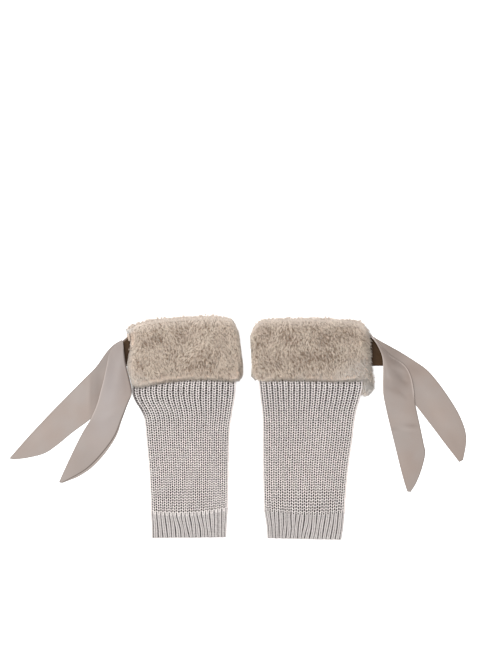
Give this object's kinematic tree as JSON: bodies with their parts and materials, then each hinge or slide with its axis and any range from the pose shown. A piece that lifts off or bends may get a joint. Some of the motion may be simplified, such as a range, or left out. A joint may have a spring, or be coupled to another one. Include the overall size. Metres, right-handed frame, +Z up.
{
  "type": "pair of leg warmers",
  "caption": "Pair of ribbed knit leg warmers laid flat, each with a turned-down short fur cuff and a satin ribbon with two tails at its outer side.",
  "frame": {"origin": "middle of the pair's box on the surface it lies on", "axes": "+X from the left leg warmer to the right one, +Y from the hems to the cuffs, +Z up from the surface"},
  "size_m": [0.7212, 0.3532, 0.024],
  "materials": {
    "knit": "soft chunky rib knit, pale grey-beige",
    "fur": "short plush pile, warm beige",
    "satin": "satin ribbon, grey-pink taupe",
    "strap": "satin, dark brown"
  },
  "bodies": {
    "root": {"knit_left": "knit", "cuff_left": "fur", "strap_left": "strap", "tail_front_left": "satin", "tail_back_left": "satin", "knit_right": "knit", "cuff_right": "fur", "strap_right": "strap", "tail_front_right": "satin", "tail_back_right": "satin"}
  },
  "joints": []
}
